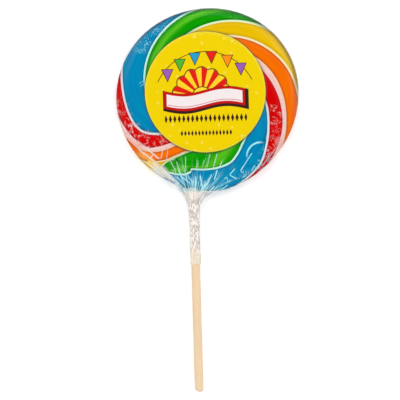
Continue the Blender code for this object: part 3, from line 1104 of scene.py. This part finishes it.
def reach(a, b, x0=0.0, y0=0.0):
    """How far a point is from (x0, y0)."""
    da, db = a - x0, b - y0
    return (da * da + db * db) ** 0.5


def pennant(u, v, x0, y0, half_width, drop):
    """A small flag that hangs from a line at (x0, y0)."""
    down = (y0 - v) / drop
    return inside((abs(u - x0) - (1 - down) * half_width).most(v - y0).most(y0 - drop - v))


print(f"print's edges are soft over {2 * SHARP:.2f} mm")

# %% Yellow ground with pale spots
YELLOW = ((0.78, 0.57, 0.0005), (0.75, 0.53, 0.0005))
SPOT = (0.84, 0.72, 0.17)
PAPER_EDGE = (0.72, 0.70, 0.06)

clouds = finish.noise(finish.vector(u * 0.09, v * 0.09), 1.0, 2.0)
base = finish.mix(clouds * 0.35, *YELLOW)
cells = finish.node("ShaderNodeTexVoronoi", {"feature": "F1"}, {
    "Vector": finish.vector(u * 0.21, v * 0.21, 2.0), "Scale": 1.0, "Randomness": 0.8})
spot_size = finish.parts(cells["Color"])[0] * 0.14 + 0.06
spots = (cells["Distance"] - spot_size).step(0.1, -0.08)
base = finish.mix(spots * 0.65, base, SPOT)
near_edge = (reach(u, v) - LABEL_RADIUS / MM).step(-1.1, -0.2)
base = finish.mix(near_edge * 0.6, base, PAPER_EDGE)
print("ground laid:", len(finish.tree.nodes), "nodes")

# %% A string of pennants
INK = (0.035, 0.012, 0.012)
PURPLE = (0.29, 0.10, 0.42)
PENNANTS = ((-23.5, 14.6, PURPLE), (-15.5, 20.9, (0.07, 0.42, 0.03)),
            (-6, 24.6, (0.02, 0.30, 0.55)), (4.5, 25.3, (0.70, 0.015, 0.008)),
            (14.5, 22.6, (0.90, 0.25, 0.01)), (22.8, 17.4, PURPLE))
STRING_CENTRE = (0.0, -7.5)
STRING_RADIUS = 33.0
STRING_END = 7.0
FLAG = (3.2, 7.0)
FLAG_OUTLINE = (3.9, 8.4)
OUTLINE_RISE = 0.4

string = abs(reach(u, v, *STRING_CENTRE) - STRING_RADIUS) - 0.24
base = finish.mix(inside(string) * inside(STRING_END - v), base, INK)
for px, py, colour in PENNANTS:
    base = finish.mix(pennant(u, v, px, py + OUTLINE_RISE, *FLAG_OUTLINE), base, INK)
    base = finish.mix(pennant(u, v, px, py, *FLAG), base, colour)
print(len(PENNANTS), "pennants")

# %% A half rosette above the ribbon
ROSETTE_CENTRE = (-2.0, -3.0)
ROSETTE_RADIUS = 17.0
PETALS = 14
PETAL_SWELL = 1.6
BUTTON_RADIUS = 6.0
ROSETTE = {"petal": (0.88, 0.58, 0.02), "ray": (0.66, 0.012, 0.006), "button": (0.86, 0.62, 0.03)}

far = reach(u, v, *ROSETTE_CENTRE)
turn = finish.node("ShaderNodeMath", {"operation": "ARCTAN2"},
                   {0: v - ROSETTE_CENTRE[1], 1: u - ROSETTE_CENTRE[0]})[0]
rays = (turn * PETALS).sine().step(-0.12, 0.12)
upper = inside(ROSETTE_CENTRE[1] - v)
scallop = ROSETTE_RADIUS + abs((turn * (PETALS / 2)).sine()) * PETAL_SWELL
petals = inside(far - scallop) * upper
base = finish.mix(inside(far - scallop - 0.7) * upper, base, INK)
base = finish.mix(petals, base, ROSETTE["petal"])
base = finish.mix(petals * rays, base, ROSETTE["ray"])
base = finish.mix(inside(far - BUTTON_RADIUS - 0.6) * upper, base, INK)
base = finish.mix(inside(far - BUTTON_RADIUS) * upper, base, ROSETTE["button"])
print(PETALS, "petals in the whole rosette, half of them shown")

# %% A blank ribbon
RIBBON_HALF_LENGTH = 25.5
RIBBON_HALF_HEIGHT = 5.4
RIBBON_EDGE = 1.6
RIBBON = {"edge": (0.50, 0.008, 0.006), "paper": (0.80, 0.72, 0.72), "line": (0.62, 0.16, 0.17)}

wave = (u * 0.12).sine() * 2.1 - 4.2
ribbon = (abs(u + 0.5) - RIBBON_HALF_LENGTH).most(abs(v - wave) - RIBBON_HALF_HEIGHT)
drop_shade = (abs(u - 0.3) - (RIBBON_HALF_LENGTH + 1.5)).most(
    abs(v - wave + 0.8) - (RIBBON_HALF_HEIGHT + 1.0))
base = finish.mix(inside(drop_shade), base, INK)
base = finish.mix(inside(ribbon), base, RIBBON["edge"])
base = finish.mix(inside(ribbon + RIBBON_EDGE), base, RIBBON["paper"])
low_line = inside(abs(v - wave + 2.9) - 0.35) * inside(ribbon + RIBBON_EDGE + 0.8)
base = finish.mix(low_line, base, RIBBON["line"])
print(f"the ribbon is {2 * RIBBON_HALF_LENGTH:.0f} mm long and bare")

# %% Rows of lozenges where small print would go
LOZENGE_ROWS = ((-16.6, 25.9, 2.6, 2.8), (-25.8, 16.5, 1.9, 2.2))
LOZENGE_WIDTH = 0.36


def lozenges(u, v, y0, half_length, half_height, pitch):
    """A row of slim diamonds."""
    repeat = finish.node("ShaderNodeMath", {"operation": "PINGPONG"}, {0: u, 1: pitch / 2})[0]
    shape = repeat / (pitch * LOZENGE_WIDTH) + abs(v - y0) / half_height - 1.0
    return inside(shape * 1.2) * inside(abs(u) - half_length)


for row in LOZENGE_ROWS:
    base = finish.mix(lozenges(u, v, *row), base, INK)
print(len(LOZENGE_ROWS), "rows of lozenges")

# %% The paper under the print
sheen = finish.noise(finish.vector(u * 0.5, v * 0.5, 5.0), 1.0, 3.0)
fibre = finish.noise(finish.vector(u * 3.0, v * 3.0, 1.0), 1.0, 3.0)
shader = finish.principled(Base_Color=base, Roughness=0.24 + sheen * 0.1,
                           Specular_IOR_Level=0.12,
                           Normal=finish.bump(fibre * 0.5 + sheen, 0.25, 0.04 * MM))
dress(sticker, finish.surface(shader))

# %% [markdown]
# ## Clear film
# Film is seen by its shine and its folds, not by its colour. The material is a blend of a
# see-through shader and a foil, which is a mirror where the film is smooth and a pale,
# rough surface where it is folded or creased. That pale colour stands partly for the
# whitening of creased film and partly for the glints the folds catch, so it is partly painted
# highlight. Glass would be truer, but it needs many more light bounces for a skin this thin.
# The blend's factor, called cover, is built up in the next cells. Folds come first: a fold is
# where a noise that is stretched along the film's threads crosses its middle value, and the
# painted fold glints thin out away from the neck.

# %% Painted glints of the folds that fan out from the neck
finish = Finish("clear_film")
thread, along, _ = finish.uv("sheet")
x, y, z = finish.place()
gather = finish.attribute("gather")
fold = finish.noise(finish.vector(thread * 27.0, along * 0.2), 1.0, 1.0, 0.5)
fine_fold = finish.noise(finish.vector(thread * 61.0, along * 0.35, 4.0), 1.0, 1.0)
patchy = finish.noise(finish.vector(thread * 14.0, along * 1.1, 8.0), 1.0, 2.0)
reached = gather * (0.55 + patchy.step(0.35, 0.65) * 0.5)
narrow = 0.3 + reached * 0.9
# Painted highlight: fold lines drawn pale, where the gathered film is also really folded.
fold_glints = (abs(fold - 0.5) / narrow).step(0.05, 0.02) * reached.step(0.12, 0.5)
fold_glints = fold_glints * (0.2 + reached * 0.75)
fine_fold_glints = (abs(fine_fold - 0.47) / narrow).step(0.06, 0.025) * reached.step(0.5, 0.8) * 0.9
fold_glints = fold_glints.most(fine_fold_glints)
print("folds drawn:", len(finish.tree.nodes), "nodes")

# %% [markdown]
# ## Painted glints of crumples and loose creases
# Where the film was handled it has crumples, and their short glints with no common direction
# are painted on as pale strokes, partly the film's own whitening. They lie in a few patches,
# mostly over the red arms. Larger creases are few and each has its own place, so their glints
# are painted one by one, as straight scratches and one arc. All of them stay on the face,
# because on the wall of the rim they would smear into stripes.

# %% Painted crumple glints in soft round patches
CRUMPLED = ((-54, -4, 7, 0.5), (-52.5, -11, 7, 0.8), (-47, -19, 8, 1.0), (-40, -25, 8, 1.0),
            (-31, -25.5, 7, 1.0), (43.5, -9, 7, 0.5), (43.5, -18, 7, 0.6), (42.5, -27, 7, 0.6),
            (37.5, -36.5, 7, 0.8), (32, -43, 5, 1.0), (22, -51, 8, 0.7))
CRINKLED = ((-41, 37, 9, 1.0), (-30, 46.5, 8, 0.8))
GAP_SCALE = 0.22


def strokes(across, up, seed, thin, sparse=0.53):
    """Short wandering scratches: the middle line of a noise, broken up by another."""
    line = abs(finish.noise(finish.vector(x * across, y * up, seed), 1.0, 1.0) - 0.5)
    gaps = finish.vector(x * GAP_SCALE, y * GAP_SCALE, seed + 3.0)
    gaps = finish.noise(gaps, 1.0, 1.0).step(sparse, sparse + 0.07)
    return line.step(thin * 2.0, thin * 0.6) * gaps


def patch(x0, y0, size):
    """A soft round patch."""
    return reach(x, y, x0, y0).step(size, size * 0.5)


def most_of(masks):
    """The greatest of several masks at each point."""
    return functools.reduce(Wire.most, masks)


crumpled = most_of([patch(*where) * strength for *where, strength in CRUMPLED])
crinkled = most_of([patch(*where) * strength for *where, strength in CRINKLED])
glints = finish.noise(finish.vector(x * 0.6 + y * 0.3, y * 0.42 - x * 0.16, 5.0), 1.0, 2.0)
# Painted highlight: short pale strokes where crumpled film would glint.
crumple_glints = most_of([glints.step(0.56, 0.72) * 0.06,
                    strokes(0.34, 0.2, 2.0, 0.024) * 0.62,
                    strokes(0.6, 0.45, 5.0, 0.03) * 0.3,
                    strokes(0.16, 0.36, 11.0, 0.024) * 0.5]) * crumpled
crumple_glints = crumple_glints.most(strokes(0.55, 0.6, 21.0, 0.03, 0.45) * crinkled * 0.6)
print(len(CRUMPLED) + len(CRINKLED), "patches of crumples")


# %% An arc and a straight scratch
FULL_SHARE = 0.3


def arc(x0, y0, radius, towards, spread, width):
    """A painted glint along part of a circle, where the film is creased, brightest at its middle.
    """
    far = reach(x, y, x0, y0)
    heading = ((x - x0) * math.sin(math.radians(towards))
               + (y - y0) * math.cos(math.radians(towards))) / far
    reachable = heading.step(math.cos(math.radians(spread)),
                             math.cos(math.radians(spread * 0.35)))
    return abs(far - radius).step(width, width * FULL_SHARE) * reachable


def scratch(x0, y0, x1, y1, width, strength=1.0):
    """A straight stroke from one point to another, for painted glints of creased film and broad
    folds.
    """
    length = math.hypot(x1 - x0, y1 - y0)
    dx, dy = (x1 - x0) / length, (y1 - y0) / length
    run = (x - x0) * dx + (y - y0) * dy
    aside = abs((x - x0) * dy - (y - y0) * dx)
    ends = abs(run - length / 2).step(length / 2 + 0.4, length / 2 - 0.8)
    return aside.step(width, width * FULL_SHARE) * ends * strength


print(f"a crease is full over {100 * FULL_SHARE:.0f} percent of its half width, then fades")

# %% Painted glints of loose creases, each with its own place
BIG_ARC = (33.0, -37.2, 8.8, -42, 62, 0.85)
SCRATCHES = (
    (20, -46, 27.5, -35, 0.5, 0.9), (16.5, -44.5, 13, -48.5, 0.5, 1.0),
    (13, -48.5, 17.5, -51.2, 0.5, 1.0), (9.3, -50.8, 11.4, -49.6, 0.45, 0.9),
    (11.2, -49.6, 11.8, -52, 0.4, 0.9), (20.9, -50.5, 23, -49.2, 0.5, 0.8),
    (26.8, -46.5, 29.2, -42.5, 0.6, 0.7), (-0.2, -58.4, 3.4, -55.3, 0.55, 1.0),
    (7, -58, 11.8, -54.6, 0.5, 1.0), (3.2, -51.3, 5.4, -45.2, 0.55, 0.9),
    (-1.7, -54.9, 1.7, -47.7, 0.5, 0.9), (-5.6, -48, -4.2, -57.4, 0.6, 0.9),
    (-1.2, -43.5, 1.2, -34.6, 0.4, 0.5), (2.6, -44.5, 5.6, -34.6, 0.42, 0.6),
    (7.0, -43, 8.5, -39.5, 0.45, 0.7), (-8.9, -54.5, -8.2, -48.5, 0.5, 0.9),
    (-14.8, -46, -14.4, -36, 0.42, 0.5), (-20.4, -38.8, -18, -45.3, 0.42, 0.5),
    (-24.3, -38, -22, -43.2, 0.42, 0.5), (-20.6, -48.3, -15, -54.6, 0.5, 0.8),
    (-18, -48, -12.2, -53, 0.5, 0.8), (-13.6, -47.6, -11, -52, 0.45, 0.7),
    (-51.4, -22.5, -40, -34.2, 0.8, 0.6), (-44.7, -25, -31, -37.2, 0.8, 0.6),
    (-41.7, -32.3, -34, -38.8, 0.6, 0.7), (-34.5, -33.9, -37.4, -37, 0.5, 0.7),
    (-28.5, -30.9, -30.1, -37.2, 0.45, 0.5), (-25.5, -31.5, -26.5, -37.5, 0.4, 0.4),
    (-35, -39.5, -22, -52, 0.6, 0.8), (-30.5, -42, -17, -55, 0.5, 0.8),
    (-40, -38.5, -27, -49.5, 0.5, 0.7), (-33, -47.5, -22, -54.5, 0.45, 0.8),
    (33.5, -43.5, 43.5, -31.5, 0.5, 0.5), (38, -41.5, 47.5, -29, 0.55, 0.5),
    (30.5, -47.5, 36, -43.5, 0.45, 0.5),
    (-42.4, 10.6, -39.4, 12.6, 0.4, 0.6), (-41.8, 9, -39, 10.6, 0.4, 0.6),
)
GLINT_STRENGTH = 0.9
FOLDS_DOWN_TO = (2.0, 5.0)
FACE_ONLY = (6.0, 8.0)

# Painted highlight: each loose crease is a pale stroke.
loose_crease_glints = most_of([arc(*BIG_ARC), *(scratch(*mark) for mark in SCRATCHES)]) * GLINT_STRENGTH
# All painted glints together, kept off the rim's wall.
crease_glint = (fold_glints * z.step(*FOLDS_DOWN_TO)).most(crumple_glints.most(loose_crease_glints) * z.step(*FACE_ONLY))
print(len(SCRATCHES), "scratches and one arc")

# %% [markdown]
# ## The web, the throat and the sleeve
# Beyond the candy's rim two layers of film lie on each other. They form a greyish web beside
# the neck and a brighter throat over the stick, and below that the sleeve is crimped all
# over like frost, with painted highlights on its crimps and painted shade down its sides.
# At the sleeve's low end the film is thinner and the wood shows through.
# Each gets its own mask, from its place or from how far past the rim the film is.

# %% Masks for the doubled film
PAST_RIM = (0.4, 1.3)
SLEEVE_STARTS = (-61.5, -66.5)
LOW_END = (-90.0, -98.5)
THROAT_Y = -60.5

beyond = finish.attribute("past_rim").step(*PAST_RIM)
web = beyond * (0.55 + fold.step(0.35, 0.65) * 0.4)
crackle = finish.noise(finish.vector(x, y * 0.4, z * 0.4), 1.0, 2.0, 0.6)
# Painted highlight: bright spots where the crimped film would catch the light; the crimp itself is
# real.
bright = crackle.step(0.42, 0.56)
sleeve = y.step(*SLEEVE_STARTS)
low_end = y.step(*LOW_END)
frosted = sleeve * (0.5 * (1 - low_end * 0.7) + bright * (0.42 + low_end * 0.25))
# The throat is brighter where the painted crimp highlights are.
throat = reach(x, y, STICK_X / MM, THROAT_Y).step(6.5, 2.0) * (0.45 + bright * 0.4)
print("the frost sets in between", *SLEEVE_STARTS, "mm and thins between", *LOW_END, "mm")

# %% Broad folds that lie flat on the candy
PALE_FOLD = (-38, -37.5, -20, -55, 3.8, 0.85)
SLIT = (-28.8, -49.2, -21.4, -52.6, 1.3)

band = scratch(*PALE_FOLD).most(patch(-32, -47, 8) * 0.75)
band = band * (0.6 + fine_fold.step(0.35, 0.65) * 0.4)
pink_fold = patch(45.5, -28.5, 4.5) * 0.3
golden_fold = patch(-42, -39.5, 10) * (0.16 + fold.step(0.35, 0.65) * 0.2)
band = band.most(pink_fold).most(golden_fold) * (1 - scratch(*SLIT))
print("a pale, a pink and a golden fold")

# %% How much the film covers, and how dull it is
SMOOTH_SHINE = 0.01

smooth = z.step(8.6, 10.2) * SMOOTH_SHINE
cover = most_of([band + smooth, crease_glint * 0.95, web, frosted, throat])
scatter = (crease_glint * 12.0 + sleeve + beyond + band * 5.0 + throat * 3.0).least(1.0)
print("cover and dullness drawn:", len(finish.tree.nodes), "nodes")

# %% [markdown]
# ## The colours of the painted glints
# The painted glints of folds and creases stand for clear film, so they take on the colour
# under them: pale cyan over blue, pink over red, pale green over green and cream where they
# lie over several. Real film would do this by itself, but here a painted glint hides what is
# below, so its tint is chosen by place.

# %% Tints by place
OVER_BLUE = ((0.50, 0.95, 1.0), (0.28, 0.86, 0.98))
OVER_GREEN = (0.72, 0.97, 0.76)
OVER_RED = (0.98, 0.50, 0.50)
CREAM = (1.0, 0.94, 0.87)
WEB_SHADE = (0.42, 0.47, 0.49)

red_side = (patch(-44, -18, 22) * y.step(-33.0, -28.0)).most(patch(60, -26, 29))
blue_side = most_of([patch(30, -38, 14), patch(13, -53, 12), y.step(0.0, 8.0)])
plain_side = (x.step(-18.0, -26.0) * y.step(-8.0, -16.0)).most(y.step(-57.0, -59.0))
fold_tint = finish.mix(y.step(-47.5, -45.5), OVER_BLUE[0], OVER_GREEN)
fold_tint = finish.mix(blue_side, fold_tint, OVER_BLUE[1])
fold_tint = finish.mix(red_side, fold_tint, OVER_RED)
fold_tint = finish.mix(plain_side * (1 - red_side), fold_tint, CREAM)
fold_tint = finish.mix(patch(1.5, -61, 6.5) * 0.65 * beyond, fold_tint, WEB_SHADE)
print("five tints for the folds")

# %% Tints of the sleeve, the web and the broad folds
SLEEVE_TINT = {"dull": (0.72, 0.65, 0.60), "bright": (1.0, 0.96, 0.93),
               "low_end": (1.0, 0.92, 0.76), "sides": (0.62, 0.58, 0.55)}
WEB_TINT = ((0.37, 0.38, 0.39), (0.60, 0.59, 0.61))
CLEAR_TINT = (0.55, 0.56, 0.56)
BAND_TINT = {"pale": (0.92, 0.82, 0.70), "golden": (1.0, 0.76, 0.14), "pink": (0.98, 0.55, 0.52)}
THROAT_TINT = (0.86, 0.80, 0.76)

# Painted shade: the sleeve's sides are darker, as a round sleeve turning from the light.
sides = abs(thread - 0.5).step(0.34, 0.45)
# Painted highlight: the crimps' bright spots get a paler tint.
sleeve_tint = finish.mix(bright, SLEEVE_TINT["dull"], SLEEVE_TINT["bright"])
sleeve_tint = finish.mix(low_end * 0.8, sleeve_tint, SLEEVE_TINT["low_end"])
sleeve_tint = finish.mix(sides * 0.8, sleeve_tint, SLEEVE_TINT["sides"])
tint = finish.mix(beyond, CLEAR_TINT, finish.mix(fold.step(0.4, 0.6), *WEB_TINT))
tint = finish.mix(sleeve, tint, sleeve_tint)
band_tint = finish.mix((golden_fold * 9.0).least(1.0), BAND_TINT["pale"], BAND_TINT["golden"])
band_tint = finish.mix((pink_fold * 8.0).least(1.0), band_tint, BAND_TINT["pink"])
tint = finish.mix((band * 8.0).least(1.0), tint, band_tint)
tint = finish.mix(throat * (1 - sleeve), tint, THROAT_TINT)
tint = finish.mix((crease_glint * 9.0).least(1.0) * (1 - sleeve), tint, fold_tint)
print("tints laid:", len(finish.tree.nodes), "nodes")

# %% [markdown]
# ## Painted shade on the film
# A thin dark line of painted shade runs round the sticker, where it steps up, as a contact
# shadow. Another runs round the rim on the side away from the stick, with a grey veil of
# painted shade outside it, so that side reads as the shaded one. That side is found from the
# direction of a point seen from the centre.

# %% Painted shade round the sticker and on the rim away from the stick
SHADED_WAY = (0.34, 0.94)
SHADE_LINE_TINT = (0.01, 0.02, 0.015)
SHADE_LINE_COVER = 0.32
RIM_SHADE_TINT = (0.46, 0.47, 0.45)
RIM_SHADE_COVER = 0.34

off_label = reach(x, y, LABEL_CENTRE.x / MM, LABEL_CENTRE.y / MM) - LABEL_RADIUS / MM
height = abs(z - MIDDLE_Z / MM)
shaded_side = ((x * SHADED_WAY[0] + y * SHADED_WAY[1]) / reach(x, y)).step(0.0, 0.6)
# Painted shade: a contact shadow round the sticker, then a dark line on the shaded side of the
# rim.
painted_shade_line = off_label.step(1.5, 0.2) * z.step(8.0, 9.5)
painted_shade_line = painted_shade_line.most(height.step(4.5, 3.6) * height.step(1.2, 2.4) * shaded_side)
# Painted shade: a grey veil over the shaded side of the rim.
rim_shade_veil = height.step(2.6, 1.0) * shaded_side
cover = most_of([cover, painted_shade_line * SHADE_LINE_COVER, rim_shade_veil * RIM_SHADE_COVER])
tint = finish.mix(rim_shade_veil, tint, RIM_SHADE_TINT)
tint = finish.mix(painted_shade_line, tint, SHADE_LINE_TINT)
scatter = most_of([scatter, painted_shade_line, rim_shade_veil])
print(f"the lines cover {100 * SHADE_LINE_COVER:.0f} percent")

# %% The film's shader
relief = fold * gather + fine_fold * 0.4 * gather + crackle * sleeve
foil = finish.principled(Base_Color=tint, Roughness=0.1 + scatter * 0.35,
                         Metallic=1 - scatter, Normal=finish.bump(relief, 0.6, 0.4 * MM))
clear = finish.node("ShaderNodeBsdfTransparent")["BSDF"]
shader = finish.node("ShaderNodeMixShader", {}, {0: cover, 1: clear, 2: foil})["Shader"]
dress(film_bag, finish.surface(shader))

# %% [markdown]
# ## Floor, light and camera
# The lollipop lies on a plain white sweep. Its colours must stay deep under the shiny film,
# so straight above it is dim, and most of the light comes from low and all round: a pale
# ring of sky and four softboxes at about fifty degrees. Two small bright boxes give the
# folds their sparkle.

# %% The floor
FLOOR_HALF = 3.0
FLOOR_DROP = 0.02 * MM

bm = bmesh.new()
bmesh.ops.create_grid(bm, x_segments=1, y_segments=1, size=FLOOR_HALF,
                      matrix=Matrix.Translation((0, 0, -FLOOR_DROP)))
mesh = bpy.data.meshes.new("floor")
bm.to_mesh(mesh)
bm.free()
floor = bpy.data.objects.new("floor", mesh)
bpy.context.scene.collection.objects.link(floor)
finish = Finish("floor_white")
dress(floor, finish.surface(finish.principled(
    Base_Color=(0.96, 0.96, 0.96), Roughness=0.9, Emission_Color=(1.0, 1.0, 1.0),
    Emission_Strength=0.2)))

# %% The sky, by height
SKY = ((0.0, 0.45), (0.16, 0.25), (0.4, 0.6), (0.6, 1.0), (0.78, 0.7), (0.9, 0.03))

world = bpy.data.worlds.new("studio")
bpy.context.scene.world = world
world.use_nodes = True
sky = world.node_tree
background = sky.nodes["Background"]
direction = sky.nodes.new("ShaderNodeTexCoord")
split = sky.nodes.new("ShaderNodeSeparateXYZ")
ramp = sky.nodes.new("ShaderNodeValToRGB")
for height, glow in SKY[1:-1]:
    ramp.color_ramp.elements.new(height)
for stop, (height, glow) in zip(ramp.color_ramp.elements, SKY):
    stop.position = height
    stop.color = (glow, glow, glow, 1.0)
sky.links.new(direction.outputs["Generated"], split.inputs[0])
sky.links.new(split.outputs["Z"], ramp.inputs[0])
sky.links.new(ramp.outputs[0], background.inputs["Color"])
background.inputs["Strength"].default_value = 1.0
print(len(SKY), "heights in the sky")

# %% Softboxes
LAMP_DISTANCE = 1.1
LAMPS = (("soft_left", -62, 48, 0.7, 3.0), ("soft_right", 58, 48, 0.7, 2.8),
         ("soft_foot", 170, 48, 0.7, 2.5), ("soft_head", -5, 48, 0.7, 2.7),
         ("spark_left", 215, 52, 0.08, 0.35), ("spark_right", 120, 50, 0.08, 0.35))


def softbox(name, azimuth, elevation, size, watts):
    """A square lamp that looks at the candy from a compass direction, clockwise from +Y."""
    lamp = bpy.data.lights.new(name, "AREA")
    lamp.size = size
    lamp.energy = watts
    holder = bpy.data.objects.new(name, lamp)
    a, e = math.radians(azimuth), math.radians(elevation)
    back = Vector((math.sin(a) * math.cos(e), math.cos(a) * math.cos(e), math.sin(e)))
    holder.location = back * LAMP_DISTANCE
    holder.rotation_euler = back.to_track_quat("Z", "Y").to_euler()
    bpy.context.scene.collection.objects.link(holder)


for lamp in LAMPS:
    softbox(*lamp)
print(len(LAMPS), "lamps")

# %% The camera
CAMERA_PLACE = (-6.1 * MM, -63.7 * MM, 606 * MM)
CAMERA_TURN = math.radians(-1.62)

camera = bpy.data.objects.new("camera", bpy.data.cameras.new("camera"))
camera.data.lens = 85
camera.data.sensor_width = 36
camera.location = CAMERA_PLACE
camera.rotation_euler = (0, 0, CAMERA_TURN)
bpy.context.scene.collection.objects.link(camera)
bpy.context.scene.camera = camera
bpy.context.scene.view_settings.view_transform = "Standard"
print(f"the camera looks straight down from {1000 * CAMERA_PLACE[2]:.0f} mm")

# %% [markdown] The dressed lollipop has to fill the CAD
# model's box to within about a millimetre.
